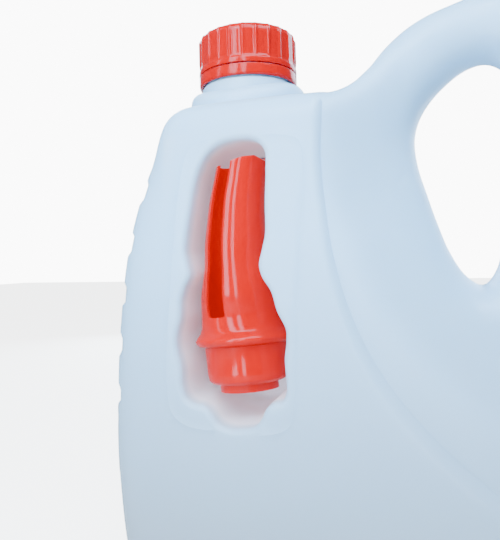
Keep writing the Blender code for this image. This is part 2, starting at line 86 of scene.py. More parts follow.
POCKET_MIDDLE = (-34.0, 181.0)
POCKET_HALF = (27.0, 63.0)
POCKET_GLOW = 0.24  # painted glow, standing in for the light that comes through the pocket's wall
POCKET_FLOOR_Y = -7.6
POCKET_DRAFT = 1.0
POCKET_LIP = 2.6  # radius of the soft rim round the pocket
POCKET_CORNER = 3.0  # radius where its wall meets its floor

SPOUT_AT = (-34.9, -31.9, 155.0)
SPOUT_LEAN_X = math.radians(-4.5)
SPOUT_LEAN_Y = math.radians(-5.7)
SPOUT_WALL = 1.4
SPOUT_SIDES = 96
SPOUT_GLOW = 0.24  # painted glow, standing in for the light that comes through the spout's wall to its inside
SLOT_HEIGHTS = (11, 40, 81)  # the slot's width and its turn from the front are given at these
SLOT_WIDTHS = (9.9, 8.4, 7.4)
SLOT_TURNS = (-17.5, -20.5, -23.0)

# Each stretch of the outline: its edge profile (reach of the rounding, superellipse power) and knots.
BASE = (26.0, 5.0)
SIDE = (38.0, 3.0)
SHOULDER = (22.0, 5.0)
GRIP = (15.0, 2.2)
OUTLINE = [
    (BASE, [(-52, -2), (-70, -2), (-83, 0.5), (-89.5, 6)]),
    (SIDE, [(-93, 14), (-100, 35), (-104.7, 65), (-106.7, 95), (-105.7, 130), (-102.6, 165), (-96.8, 200),
            (-85.7, 232), (-77.5, 246)]),
    (SHOULDER, [(-71.8, 254.5), (-65.5, 259.8), (-56, 262.5), (-40, 263), (-10, 262.5), (0, 262.4)]),
    (GRIP, [(9, 263.5), (15, 267.8), (21, 276.2), (28, 285.8), (36, 293.4), (46, 299), (58, 303), (70, 306),
            (82, 306.8), (92, 303.5), (100.5, 295.5), (105.8, 283), (106.7, 268), (105.2, 245), (103, 220),
            (101.5, 195), (102, 170)]),
    (SIDE, [(104, 145), (106, 120), (106.6, 95), (105, 60), (101, 32), (95, 14)]),
    (BASE, [(91, 6), (84, 0.5), (72, -2), (55, -2), (0, -2)]),
]
HOLE = [(40.3, 245), (42.3, 254), (47, 262), (54.5, 269.5), (63, 275), (71, 276.5), (77.5, 273), (81, 265),
        (82, 252), (81, 238), (79.5, 220), (77.5, 200), (74.5, 184), (69, 177), (62, 181), (55, 192),
        (50, 205), (45.5, 219), (41.5, 233)]
SWOOSH = [(4.7, 320), (4.7, 262), (4.5, 250), (3.8, 233), (5, 213), (7, 193), (12.4, 169.5), (21, 148.5),
          (32, 131), (45.5, 115.5), (62, 101), (87, 84), (128, 62)]
HOLLOW = [(8.4, 320), (8.4, 262), (8.4, 243), (9, 227), (11.8, 211.5), (16.5, 198), (23, 183.5),
          (32.5, 167.5), (46, 150), (63, 133), (88, 115), (128, 94)]
POCKET = [(-30, 119.5), (-36, 119.5), (-40.5, 121.5), (-44.5, 126.5), (-47.5, 128.3), (-51, 128.7),
          (-55, 131), (-57, 136), (-57.3, 144), (-59.3, 152.5), (-59.2, 158.5), (-57, 167), (-56.6, 174),
          (-54.5, 180), (-51.9, 185), (-52.8, 190), (-53.9, 195), (-53.3, 201), (-51.3, 211.5),
          (-48.6, 224), (-46, 231), (-42, 237), (-36.5, 240.5), (-28, 241.8), (-20.5, 240.6),
          (-16.5, 236.5), (-16.2, 228), (-16.8, 215), (-17, 202), (-18.5, 195.5), (-20, 189),
          (-18.8, 184), (-15, 178), (-12.5, 169.5), (-9, 162.5), (-8.8, 157), (-9.7, 150), (-9.2, 141),
          (-9.2, 136.5), (-11, 132.8), (-15, 131.5), (-18, 129), (-20.3, 124.5), (-23.5, 121)]
# The fine line of the mould's insert round the pocket.
INSERT = [(-44, 242.5), (-25, 242.5), (-8, 241.5), (-1.5, 239), (0.3, 230.6), (-0.6, 212), (-3.7, 170.5),
          (-5.2, 133), (-7.5, 123), (-15.7, 118.7), (-35, 118.2), (-54.6, 119), (-61.5, 123.5), (-64, 134),
          (-60.4, 184.5), (-54, 229.8), (-50.5, 239)]

GROOVES = [127.5, 151.8, 176.0, 200.3, 224.5]
GROOVE_DEPTH = 1.2
GROOVE_HALF = 5.3  # half height of a groove
GROOVE_REACH = 8.5  # how far in from the outline a groove's round end begins

# ---- Fineness of the skin ----------------------------------------------------------------------
RIM_STEP = 1.6
GRID_STEP = 3.6
SIDES = 160


# ---- Curves and distances in the plane ----------------------------------------------------
def spline(knots, step, closed=True):
    """Points about step apart along a centripetal Catmull-Rom curve through knots."""
    k = np.array(knots, float)
    ends = (k[[-1]], k[:2]) if closed else (2 * k[:1] - k[1:2], 2 * k[-1:] - k[-2:-1])
    k = np.concatenate([ends[0], k, ends[1]])
    points = []
    for p in (k[i : i + 4] for i in range(len(k) - 3)):
        t = np.concatenate([[0], np.cumsum(np.linalg.norm(np.diff(p, axis=0), axis=1) ** 0.5)])
        u = np.linspace(t[1], t[2], 13)[:-1, None]
        a = [(p[i] * (t[i + 1] - u) + p[i + 1] * (u - t[i])) / (t[i + 1] - t[i]) for i in range(3)]
        b = [(a[i] * (t[i + 2] - u) + a[i + 1] * (u - t[i])) / (t[i + 2] - t[i]) for i in range(2)]
        points.append((b[0] * (t[2] - u) + b[1] * (u - t[1])) / (t[2] - t[1]))
    points = np.concatenate([*points, k[[1]] if closed else k[[-2]]])
    length = np.concatenate([[0], np.cumsum(np.linalg.norm(np.diff(points, axis=0), axis=1))])
    count = max(3, round(length[-1] / step))
    at = np.linspace(0, length[-1], count + 1)
    even = np.stack([np.interp(at, length, points[:, i]) for i in range(k.shape[1])], axis=1)
    return even[:-1] if closed else even


def rounded(profile, cut, steps=4):
    """An open polyline of any width with each inner corner swapped for a small curve."""
    p = np.array(profile, float)
    points = [p[0]]
    for before, corner, after in zip(p[:-2], p[1:-1], p[2:]):
        sides = [side - corner for side in (before, after)]
        lengths = [np.linalg.norm(side) for side in sides]
        back, on = (corner + s * min(cut, 0.45 * l) / l for s, l in zip(sides, lengths))
        for t in np.linspace(0, 1, steps + 1):
            points.append((1 - t) ** 2 * back + 2 * t * (1 - t) * corner + t * t * on)
    points.append(p[-1])
    return points


def distance(points, line):
    """Distance of each point to a polyline."""
    best = np.full(len(points), 1e9)
    for a, b in zip(line[:-1], line[1:]):
        along = np.clip((points - a) @ (b - a) / ((b - a) @ (b - a)), 0, 1)
        best = np.minimum(best, np.linalg.norm(points - a - along[:, None] * (b - a), axis=1))
    return best


def closed_distance(points, loop):
    return distance(points, np.vstack([loop, loop[:1]]))


def inside(points, loop):
    """Whether each point is inside a closed loop."""
    found = np.zeros(len(points), bool)
    x, z = points.T
    for (ax, az), (bx, bz) in zip(loop, np.roll(loop, -1, axis=0)):
        crosses = (az > z) != (bz > z)
        found ^= crosses & (x < ax + (z - az) * (bx - ax) / (bz - az if bz != az else 1))
    return found


def offset(loop, by):
    """A closed loop moved inwards by a distance, or outwards where it is negative."""
    ahead = np.roll(loop, -1, axis=0) - np.roll(loop, 1, axis=0)
    normal = np.stack([-ahead[:, 1], ahead[:, 0]], axis=1)
    normal /= np.linalg.norm(normal, axis=1)[:, None]
    turn = np.sum(loop[:, 0] * np.roll(loop[:, 1], -1) - loop[:, 1] * np.roll(loop[:, 0], -1))
    return loop + normal * by * math.copysign(1, turn)


def offset_line(line, by):
    """An open line moved to its left, where it runs downwards, by a distance or one for each point."""
    ahead = np.gradient(line, axis=0)
    normal = np.stack([-ahead[:, 1], ahead[:, 0]], axis=1) / np.linalg.norm(ahead, axis=1)[:, None]
    return line + np.broadcast_to(by, len(line))[:, None] * normal


def smoothstep(low, high, value):
    t = np.clip((value - low) / (high - low), 0, 1)
    return t * t * (3 - 2 * t)


# ---- The jug's shape: a half depth for every point of its front view -------------------------
ALL_KNOTS = [knot for _, knots in OUTLINE for knot in knots]
FINE_OUTLINE = spline(ALL_KNOTS, 2.0)
FINE_HOLE = spline(HOLE, 2.0)
FINE_SWOOSH = spline(SWOOSH, 2.0, closed=False)
FINE_HOLLOW = spline(HOLLOW, 2.0, closed=False)
FINE_INSERT = spline(INSERT, 2.0)


def edge_parts():
    """Every fine segment of both outlines with the rounding's reach and power beside it."""
    joined = np.concatenate([FINE_OUTLINE, FINE_OUTLINE])
    starts = [int(np.argmin(np.linalg.norm(FINE_OUTLINE - knots[0], axis=1))) for _, knots in OUTLINE]
    starts.append(starts[0] + len(FINE_OUTLINE))
    line = joined[starts[0] : starts[-1] + 1]
    stretches = zip(OUTLINE, starts, starts[1:])
    own = np.concatenate([np.tile(profile, (b - a, 1)) for (profile, _), a, b in stretches])
    smooth = sum(np.roll(own, shift, axis=0) for shift in range(-8, 9)) / 17
    loop = np.vstack([FINE_HOLE, FINE_HOLE[:1]])
    ends = np.concatenate([line[:-1], loop[:-1]]), np.concatenate([line[1:], loop[1:]])
    return *ends, np.concatenate([smooth, np.tile(GRIP, (len(FINE_HOLE), 1))])


EDGE_FROM, EDGE_TO, EDGE_PROFILE = edge_parts()


def edge_share(points, inset):
    """Share of the full depth near the outlines: a superellipse rounding over a blended distance."""
    total = np.zeros(len(points))
    profile = np.zeros((len(points), 2))
    for a, b, own in zip(EDGE_FROM, EDGE_TO, EDGE_PROFILE):
        length = np.linalg.norm(b - a)
        along = (points - a) @ (b - a) / length
        off = np.maximum(np.sum((points - a) ** 2, axis=1) - along**2, 1e-6)
        part = 0
        for s, sign in ((length - along, 1), (-along, -1)):
            far = s * s + off
            part = part + sign * (s / (3 * off * far**1.5) + 2 * s / (3 * off**2 * far**0.5))
        part = np.maximum(part, 0)
        total += part
        profile += part[:, None] * own
    reach, power = (profile / total[:, None]).T
    d = (0.75 * total) ** -0.25 - inset
    return (1 - (1 - np.clip(d / (reach - inset), 0, 1)) ** power) ** (1 / power)


def beyond(points, line, corners):
    """Signed distance past a boundary line, positive on the side that the far corners close off."""
    region = np.concatenate([line, corners])
    return np.where(inside(points, region), 1, -1) * distance(points, line)


def ramp(value, run, soft=4.0):
    """Climbs from 0 to 1 over a run, straight but for its soft ends."""
    return ((value + np.hypot(value, soft)) - (value - run + np.hypot(value - run, soft))) / (2 * run)


def step_width(z):
    """How wide the step at the panel's boundary is, at each height."""
    return np.clip(3 + (220 - z) / 28, 3, 6.5)


def panel_depth(points):
    """Half depth before the edges are rounded: the panel, its step, and the slope to the handle."""
    x, z = points.T
    corners = [(300, 60), (300, 400), (4.7, 400)]
    past_step = beyond(points, FINE_SWOOSH, corners)
    past_hollow = beyond(points, FINE_HOLLOW, corners)
    crown = PANEL_CROWN * (((x + 20) / 110) ** 2 + ((z - 140) / 130) ** 2) / 2
    step = STEP_DEPTH * np.clip(past_step / step_width(z), 0, 1) ** 2
    slope = (PANEL_DEPTH - STEP_DEPTH - ARM_DEPTH) * ramp(past_hollow, FALL_RUN)
    grip = (ARM_DEPTH - HANDLE_DEPTH) * smoothstep(20, 60, past_hollow)
    return PANEL_DEPTH - crown - step - slope - grip


def half_depth(points, inset=0.0):
    return (panel_depth(points) - inset) * edge_share(points, inset)


# ---- Making objects -------------------------------------------------------------------------
def make_object(name, points, faces, finish=None, sharp=35):
    """A mesh object from millimetre points, faces turned outwards. With no finish it is a cutter."""
    mesh = bpy.data.meshes.new(name)
    mesh.from_pydata([tuple(p) for p in np.asarray(points, float) * MM], [], [tuple(f) for f in faces])
    work = bmesh.new()
    work.from_mesh(mesh)
    bmesh.ops.recalc_face_normals(work, faces=work.faces)
    work.to_mesh(mesh)
    work.free()
    obj = bpy.data.objects.new(name, mesh)
    bpy.context.scene.collection.objects.link(obj)
    if finish:
        mesh.materials.append(finish)
        mesh.shade_smooth()
        mesh.set_sharp_from_angle(angle=math.radians(sharp))
    return obj


def loft(name, rings, finish=None, closed=False, sharp=35):
    """A solid through rings of equally many points, with flat ends, or joined last to first."""
    count = len(rings[0])
    points = np.concatenate([np.asarray(ring, float) for ring in rings])
    pairs = [(i, i + 1) for i in range(len(rings) - 1)] + ([(len(rings) - 1, 0)] if closed else [])
    faces = ring_faces(pairs, count)
    if not closed:
        faces.append(tuple(range(count))[::-1])
        faces.append(tuple((len(rings) - 1) * count + j for j in range(count)))
    return make_object(name, points, faces, finish, sharp)


def ring_faces(pairs, count, first=0):
    """Quads between numbered rings of count points each."""
    return [
        (first + a * count + j, first + a * count + (j + 1) % count,
         first + b * count + (j + 1) % count, first + b * count + j)
        for a, b in pairs
        for j in range(count)
    ]


def circle(radius, z, count=SIDES, centre=(0, 0)):
    turn = np.arange(count) * 2 * math.pi / count
    return np.stack([centre[0] + radius * np.cos(turn), centre[1] + radius * np.sin(turn),
                     np.full(count, float(z))], axis=1)


def turned(name, profile, finish=None, closed=False, count=SIDES):
    """A solid of revolution about the neck's axis through (radius, z) points."""
    return loft(name, [circle(r, z, count, (NECK_X, 0)) for r, z in profile], finish, closed)


def boolean(obj, operation, *others):
    """Applies one Boolean after another, and removes the shapes that it used up."""
    for other in others:
        modifier = obj.modifiers.new(other.name, "BOOLEAN")
        modifier.operation = operation
        modifier.solver = "EXACT"
        modifier.object = other
    apply_modifiers(obj)
    for other in others:
        bpy.data.objects.remove(other, do_unlink=True)


def apply_modifiers(obj):
    bpy.context.view_layer.update()
    graph = bpy.context.evaluated_depsgraph_get()
    made = bpy.data.meshes.new_from_object(obj.evaluated_get(graph))
    obj.modifiers.clear()
    obj.data = made


def fit_out(obj, body, slot, *nodes):
    """Puts a finished piece on its body, in place of its CAD nodes."""
    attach(obj, body)
    if nodes:
        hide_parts(*nodes)


# ---- The jug's skin ----------------------------------------------------------------------------
RIM_RINGS = [0.012, 0.04, 0.1, 0.2, 0.345, 0.57, 0.83, 1.2, 1.65, 2.25, 3.0, 3.9, 5.0, 6.4]


def fill(boundaries, holes, seeds, clear):
    """Triangles over the space inside the first boundary and outside the holes, with loose points in it."""
    edges = []
    start = 0
    for loop in boundaries:
        edges += [(start + i, start + (i + 1) % len(loop)) for i in range(len(loop))]
        start += len(loop)
    kept = list(boundaries)
    for row in seeds:
        near = np.min([closed_distance(row, loop) for loop in boundaries], axis=0)
        good = inside(row, boundaries[0]) & (near > clear)
        for loop in holes:
            good &= ~inside(row, loop)
        kept.append(row[good])
    flat = np.concatenate(kept)
    out, _, triangles, *_ = delaunay_2d_cdt([Vector(p) for p in flat], edges, [], 0, 1e-5, False)
    out = np.array([tuple(p) for p in out])
    triangles = np.array(triangles)
    middle = out[triangles].mean(axis=1)
    wanted = inside(middle, boundaries[0])
    for loop in holes:
        wanted &= ~inside(middle, loop)
    return out, triangles[wanted]


def skin_seeds(front):
    """Loose points of a sheet: an even grid, and rows along every line that the shape follows."""
    grid = np.stack(np.meshgrid(np.arange(-110, 111, GRID_STEP), np.arange(0, 312, GRID_STEP)), axis=-1)
    fine_x, fine_z = np.arange(-110, -66, 1.3), np.arange(GROOVES[0] - 9, GROOVES[-1] + 9, 1.3)
    fine = np.stack(np.meshgrid(fine_x, fine_z), axis=-1).reshape(-1, 2)
    left = outline_x(fine[:, 1])
    fine = fine[(fine[:, 0] - left > 7) & (fine[:, 0] - left < 17)]
    crease = offset_line(FINE_SWOOSH, step_width(FINE_SWOOSH[:, 1]))
    rows = [offset_line(crease, by) for by in (-0.5, 0, 0.5, 2)]
    rows += [offset_line(FINE_SWOOSH, by) for by in (-1.2, 0, 1.2, 2.2)]
    if front:
        rows += [offset(FINE_INSERT, by) for by in (-0.35, 0, 0.35)]
    lines = np.concatenate(rows)
    coarse = grid.reshape(-1, 2)
    coarse = coarse[np.array([np.min(np.linalg.norm(lines - p, axis=1)) > 1.6 for p in coarse])]
    return [lines, fine, coarse]


LEFT_SIDE = FINE_OUTLINE[FINE_OUTLINE[:, 0] < -60]
LEFT_SIDE = LEFT_SIDE[np.argsort(LEFT_SIDE[:, 1])]


def outline_x(z):
    return np.interp(z, LEFT_SIDE[:, 1], LEFT_SIDE[:, 0])


def pocket_profile():
    """The pocket's wall from rim to floor: (offset into the pocket, drop below the panel or None, y)."""
    rows = []
    for t in np.linspace(0, math.pi / 2, 8):
        rows.append((-POCKET_LIP * (1 - math.sin(t)), POCKET_LIP * (1 - math.cos(t)), None))
    foot = POCKET_FLOOR_Y - POCKET_CORNER
    for share in (0.25, 0.5, 0.75):
        rows.append((POCKET_DRAFT * share, None, -PANEL_DEPTH + (foot + PANEL_DEPTH) * share))
    for t in np.linspace(0, math.pi / 2, 6):
        into = POCKET_DRAFT + POCKET_CORNER * (1 - math.cos(t))
        rows.append((into, None, foot + POCKET_CORNER * math.sin(t)))
    return rows


def jug_skin(finish):
    """The jug's closed outer skin: structured rings at every edge, and filled sheets between them."""
    rim = spline(ALL_KNOTS, RIM_STEP)
    hole = spline(HOLE, RIM_STEP)
    mouth = spline(POCKET, 1.5)
    points = [np.insert(rim, 1, 0, axis=1), np.insert(hole, 1, 0, axis=1)]
    total = len(rim) + len(hole)
    faces = []

    def add(flat, y):
        nonlocal total
        points.append(np.stack([flat[:, 0], np.broadcast_to(y, len(flat)), flat[:, 1]], axis=1))
        total += len(flat)
        return total - len(flat)

    for side in (-1, 1):
        edges = []
        for loop, start, into in ((rim, 0, 1), (hole, len(rim), -1)):
            previous = start
            for by in RIM_RINGS:
                ring = offset(loop, into * by)
                first = add(ring, side * half_depth(ring))
                n = len(loop)
                faces.extend((previous + j, previous + (j + 1) % n, first + (j + 1) % n, first + j)
                             for j in range(n))
                previous = first
            edges.append((ring, previous))
        boundaries, numbers = [edges[0][0], edges[1][0]], [edges[0][1], edges[1][1]]
        holes = [edges[1][0]]
        if side < 0:
            lip = offset(mouth, -POCKET_LIP)
            numbers.append(add(lip, -half_depth(lip)))
            boundaries.append(lip)
            holes.append(lip)
            faces += pocket_faces(mouth, numbers[-1], add)
        flat, triangles = fill(boundaries, holes, skin_seeds(side < 0), 0.9)
        own = np.concatenate([start + np.arange(len(loop)) for loop, start in zip(boundaries, numbers)])
        rest = flat[len(own) :]
        depth = half_depth(rest)
        if side < 0:
            depth = depth + 0.14 * np.clip(1 - closed_distance(rest, FINE_INSERT) / 0.35, 0, 1)
        index = np.concatenate([own, add(rest, side * depth) + np.arange(len(rest))])
        faces += [tuple(index[t]) for t in triangles]
    return make_object("jug", np.concatenate(points), faces, finish, 60)


def pocket_faces(mouth, previous, add):
    """The pocket's soft rim, its wall and its floor."""
    faces = []
    count = len(mouth)
    for by, drop, y in pocket_profile()[1:]:
        ring = offset(mouth, by)
        first = add(ring, -half_depth(ring) + drop if y is None else y)
        faces += [(previous + j, previous + (j + 1) % count, first + (j + 1) % count, first + j)
                  for j in range(count)]
        previous = first
    flat, triangles = fill([ring], [], [], 1)
    faces += [tuple(previous + t) for t in triangles]
    return faces


def press_grooves(obj):
    """Presses the finger grooves into the skin along its normals, with soft edges and round ends."""
    mesh = obj.data
    where = np.empty(len(mesh.vertices) * 3)
    mesh.vertices.foreach_get("co", where)
    where = where.reshape(-1, 3) / MM
    normals = np.empty(len(mesh.vertices) * 3)
    mesh.vertices.foreach_get("normal", normals)
    x, _, z = where.T
    into = x - outline_x(z)
    press = np.zeros(len(where))
    for height in GROOVES:
        s = np.hypot(np.maximum(into - GROOVE_REACH, 0), z - height) / GROOVE_HALF
        press = np.maximum(press, 1 - smoothstep(0.74, 1.06, s))
    press[x > -60] = 0
    where -= GROOVE_DEPTH * press[:, None] * normals.reshape(-1, 3)
    mesh.vertices.foreach_set("co", (where * MM).ravel())
    mesh.update()


def collar():
    """The raised boss that the neck stands on, higher along the mould's parting line than in front."""
    rows = [(30, 29, 250, 250), (30, 29, 268, 272), (29.3, 28.3, 270.5, 275), (27.5, 26.5, 272.3, 277.2),
            (24.5, 24.5, 273.2, 278.2), (22.5, 22.5, 273.2, 278.2)]
    turn = np.arange(SIDES) * 2 * math.pi / SIDES
    rings = []
    for a, b, low, high in rounded(rows, 1.5):
        z = low + (high - low) * np.cos(turn) ** 2
        rings.append(np.stack([NECK_X + a * np.cos(turn), b * np.sin(turn), z], axis=1))
    return loft("collar", rings)


def thread(name, wall_r, crest_r, z, finish):
    """A screw ridge on a wall, pointing out or in, with ends that taper into the wall."""
    outward = 1 if crest_r > wall_r else -1
    foot = wall_r - outward * 0.6
    count = 72
    rings = []
    steps = round(THREAD_TURNS * count)
    for i in range(steps + 1):
        rise = smoothstep(0, 1, min(1, i / 10, (steps - i) / 10))
        turn = 2 * math.pi * i / count + 0.04
        tip = foot + (crest_r - foot) * (0.3 + 0.7 * rise)
        shape = rounded([(foot, -1.05), (tip, -0.5), (tip, 0.5), (foot, 1.05)], 0.35, 3)
        height = z + PITCH * i / count
        rings.append([(NECK_X + r * math.cos(turn), r * math.sin(turn), height + h) for r, h in shape])
    return loft(name, rings, finish)


def neck():
    """The neck finish: skirt, groove for the ring, retaining bead, plain wall and lip."""
    profile = [(NECK_SKIRT_R, 256), (NECK_SKIRT_R, 278.8), (NECK_ROOT_R, 279.4), (NECK_ROOT_R, 282.2),
               (23.3, 283.2), (23.3, 284.0), (NECK_ROOT_R, 285.4), (NECK_ROOT_R, LIP_Z - 1),
               (NECK_ROOT_R - 0.8, LIP_Z), (BORE_R + 0.4, LIP_Z), (BORE_R + 0.2, LIP_Z)]
    return turned("neck", rounded(profile, 0.5))


def base_cutters():
    """What levels the base and hollows its middle."""
    level = loft("level", [[(x, y, z) for x, y in ((-130, -80), (130, -80), (130, 80), (-130, 80))]
                           for z in (-20, 0)])
    turn = np.arange(80) * 2 * math.pi / 80
    rings = []
    for a, b, z in ((76, 34, -5), (76, 34, 0), (75, 33, 0.8), (73.5, 31.5, 1.8), (71, 29, 2.4),
                    (66, 25, 2.5)):
        x = np.sign(np.cos(turn)) * np.abs(np.cos(turn)) ** 0.55 * a
        y = np.sign(np.sin(turn)) * np.abs(np.sin(turn)) ** 0.55 * b
        rings.append(np.stack([x, y, np.full(80, z)], axis=1))
    return level, loft("base_hollow", rings)


def jug(finish):
    body = jug_skin(finish)
    press_grooves(body)
    boolean(body, "UNION", collar(), neck())
    boolean(body, "DIFFERENCE", turned("bore", [(BORE_R, 240), (BORE_R, LIP_Z + 5)]), *base_cutters())
    body.data.shade_smooth()
    body.data.set_sharp_from_angle(angle=math.radians(38))
    return body


# ---- Cap and ring --------------------------------------------------------------------------------
def cap_rings():
    """Rings of the cap's outside: narrow upright ribs with a round back, on a plain wall."""
    pitch = 360 / RIB_COUNT
    steps = [-7.5, -4.6, -2.2, -1.75, -1.4, -1.05, -0.7, -0.35, 0, 0.35, 0.7, 1.05, 1.4, 1.75, 2.2, 4.6]
    turn = np.radians([i * pitch + s for i in range(RIB_COUNT) for s in steps])
    rib = np.tile([(1 - min(1, abs(s) / 2.2) ** 2) ** 1.5 for s in steps], RIB_COUNT)
    ceiling = CAP_TOP_Z - 1.8
    low, high = CAP_BOTTOM_Z, CAP_TOP_Z
    outside = [(CAP_INNER_R, ceiling, 0), (CAP_INNER_R, low, 0), (CAP_FOOT_R - 0.1, low, 0),
               (CAP_FOOT_R, low + 0.5, 0), (CAP_FOOT_R - 0.05, low + 2.3, 0), (CAP_R, low + 3.3, 0.35)]
    wall = [(CAP_R - 0.1 * t, low + 3.3 + t * (high - low - 5.9), 0.35 + 0.65 * min(1, 6 * t))
            for t in np.linspace(0.08, 1, 8)]
    top = [(CAP_R - 0.45, high - 1.6, 0.95), (CAP_R - 1.0, high - 0.75, 0.9), (CAP_R - 1.9, high - 0.2, 0.5),
           (CAP_R - 2.8, high, 0.1), (CAP_R - 4.2, high, 0), (CAP_R - 4.7, high - 0.45, 0),
           (2, high - 0.5, 0)]
    rings = []
    for r, z, share in rounded(outside, 0.35, 3) + wall + top:
        radius = r + RIB_HEIGHT * share * rib
        rings.append(np.stack([NECK_X + radius * np.cos(turn), radius * np.sin(turn), np.full(len(turn), z)],
                              axis=1))
    return rings


def tamper_ring(finish):
    """The band below the cap, with its retaining lip and the nubs of its bridges."""
    top = CAP_BOTTOM_Z - 0.6
    low = RING_BOTTOM_Z
    seam = (24.0, (top + 282.5) / 2)
    profile = [seam, (24.0, 282.5), (22.5, 282.0), (22.5, 281.0), (23.9, low), (24.4, low),
               (24.9, low + 0.3), (25.2, low + 1.2), (25.2, top), (24.0, top), seam]
    ring = turned("tamper_band", rounded(profile, 0.3, 3)[:-1], finish, closed=True)
    nubs = []
    for i in range(BRIDGE_COUNT):
        turn = 2 * math.pi * (i + 0.1) / BRIDGE_COUNT
        at = (NECK_X + 24.65 * math.cos(turn), 24.65 * math.sin(turn))
        nubs.append(loft(f"nub_{i}", [circle(r, z, 16, at) for r, z in (
            (0.6, top - 0.5), (0.6, top + 0.05), (0.42, top + 0.2), (0.3, top + 0.28))]))
    boolean(ring, "UNION", *nubs)
    ring.data.shade_smooth()
    ring.data.set_sharp_from_angle(angle=math.radians(40))
    return ring


# ---- Pour spout -------------------------------------------------------------------------------
# Each row: radius, height above the flange, and how far its middle is off the plug's axis in x and y.
PLUG_ROWS = [(13.6, -23.4, 0, 0), (13.6, -19.8, 0, 0), (16.8, -19.6, 0, 0), (18.3, -18.2, 0, 0),
             (18.8, -15.5, 0, 0), (19.2, -3, 0, 0), (20.6, -2.6, 0, 0), (22.3, -1.8, 0, 0), (23.2, 0, 0, 0),
             (22.5, 1.4, 0, 0), (20.7, 3.6, 0, -0.1), (19.8, 5.9, 0.1, -0.3)]
TUBE_ROWS = [(19.0, 10.5, 0.2, -1.6), (18.0, 19.7, 1.0, -4.4), (16.2, 27, 1.8, -7),
             (14.6, 33, 2.4, -9.1), (14.0, 42.6, 3.7, -10.9), (13.2, 51.8, 5.2, -12), (12.5, 61, 7.0, -12.9),
             (11.9, 70.2, 9.6, -13.5), (11.5, 77.5, 11.7, -14.1), (11.3, 85, 13.9, -14.6)]
PLUG_BORE = [(13.6, -25, 0, 0), (13.6, -18.4, 0, 0), (18.3, -16.6, 0, 0), (19.0, -3, 0, 0), (19.6, 2, 0, 0),
             (19.4, 6, 0.1, -0.3)]
# The cut across the spout's tip, as (across, height), which also rises towards the back.
TIP = [(-30, 77.3), (-8, 77.3), (-3, 77.6), (1.3, 78.5), (4, 78.9), (8.5, 78.9), (12, 75.5), (30, 75),
       (30, 110), (-30, 110)]
TIP_RISE = 0.15
# What the bore and the slot's cutter run on to, past the tip.
PAST_TIP = (11.3, 95, 17, -15.5)


def spout_rings(rows, inset):
    return [circle(r - inset, z, SPOUT_SIDES, (x, y)) for r, z, x, y in rows]


def spout_slot(fine_tube):
    """The cutter of the drain slot: it follows the tube's middle and reaches out through one side."""
    rows = [row for row in fine_tube if row[1] > 12.5]
    start = rows[0] - (0, rows[0][1] - 10.3, 0, 0)
    rings = []
    for share, (_, z, x, y) in [(0.72, start), (0.93, start + (0, 0.5, 0, 0)), *((1, row) for row in rows),
                                (1, PAST_TIP)]:
        turn = math.radians(np.interp(z, SLOT_HEIGHTS, SLOT_TURNS))
        out = np.array((math.sin(turn), -math.cos(turn)))
        across = np.array((-out[1], out[0])) * np.interp(z, SLOT_HEIGHTS, SLOT_WIDTHS) / 2
        middle = np.array((x, y))
        rings.append([(*corner, z) for corner in (
            middle - share * across, middle + share * across,
            middle + share * across + 30 * out, middle - share * across + 30 * out)])
    return loft("spout_slot", rings)


def mark_inner_glow(obj):
    """Stores 1 on the points of the spout's inner wall, where a painted glow stands in for the light that
    comes through it.
    """
    points = np.array([vertex.co[:] for vertex in obj.data.vertices]) / MM
    radius, height, x, y = np.array(PLUG_ROWS + TUBE_ROWS).T
    own = [np.interp(points[:, 2], height, values) for values in (radius, x, y)]
    away = np.hypot(points[:, 0] - own[1], points[:, 1] - own[2])
    inner = (away < own[0] - SPOUT_WALL / 2) & (points[:, 2] > -10)
    obj.data.attributes.new("inside", "FLOAT", "POINT").data.foreach_set("value", inner.astype(float))


def pour_spout(finish):
    """A hollow plug and flange with a long leaning spout, slotted along one side so that drips run back."""
    fine_plug = rounded(PLUG_ROWS[:6], 0.7) + list(spline(PLUG_ROWS[5:], 0.5, closed=False))
    fine_tube = spline(TUBE_ROWS, 1.6, closed=False)
    spout = loft("spout", spout_rings([*fine_plug, *fine_tube], 0), finish)
    bore_rows = [*rounded(PLUG_BORE, 0.8), *fine_tube, PAST_TIP]
    x, y = TUBE_ROWS[-2][2:]
    tip = loft("spout_tip", [[(x + u, y + v, z + TIP_RISE * v) for u, z in TIP] for v in (-30, 30)])
    boolean(spout, "DIFFERENCE", loft("spout_bore", spout_rings(bore_rows, SPOUT_WALL)),
            tip, spout_slot(fine_tube))
    edges = spout.modifiers.new("edges", "BEVEL")
    edges.width = 0.3 * MM
    edges.segments = 3
    edges.limit_method = "ANGLE"
    edges.angle_limit = math.radians(50)
    apply_modifiers(spout)
    spout.data.shade_smooth()
    spout.data.set_sharp_from_angle(angle=math.radians(40))
    mark_inner_glow(spout)
    lean = Euler((SPOUT_LEAN_X, SPOUT_LEAN_Y, 0)).to_matrix().to_4x4()
    spout.data.transform(Matrix.Translation(Vector(SPOUT_AT) * MM) @ lean)
    return spout


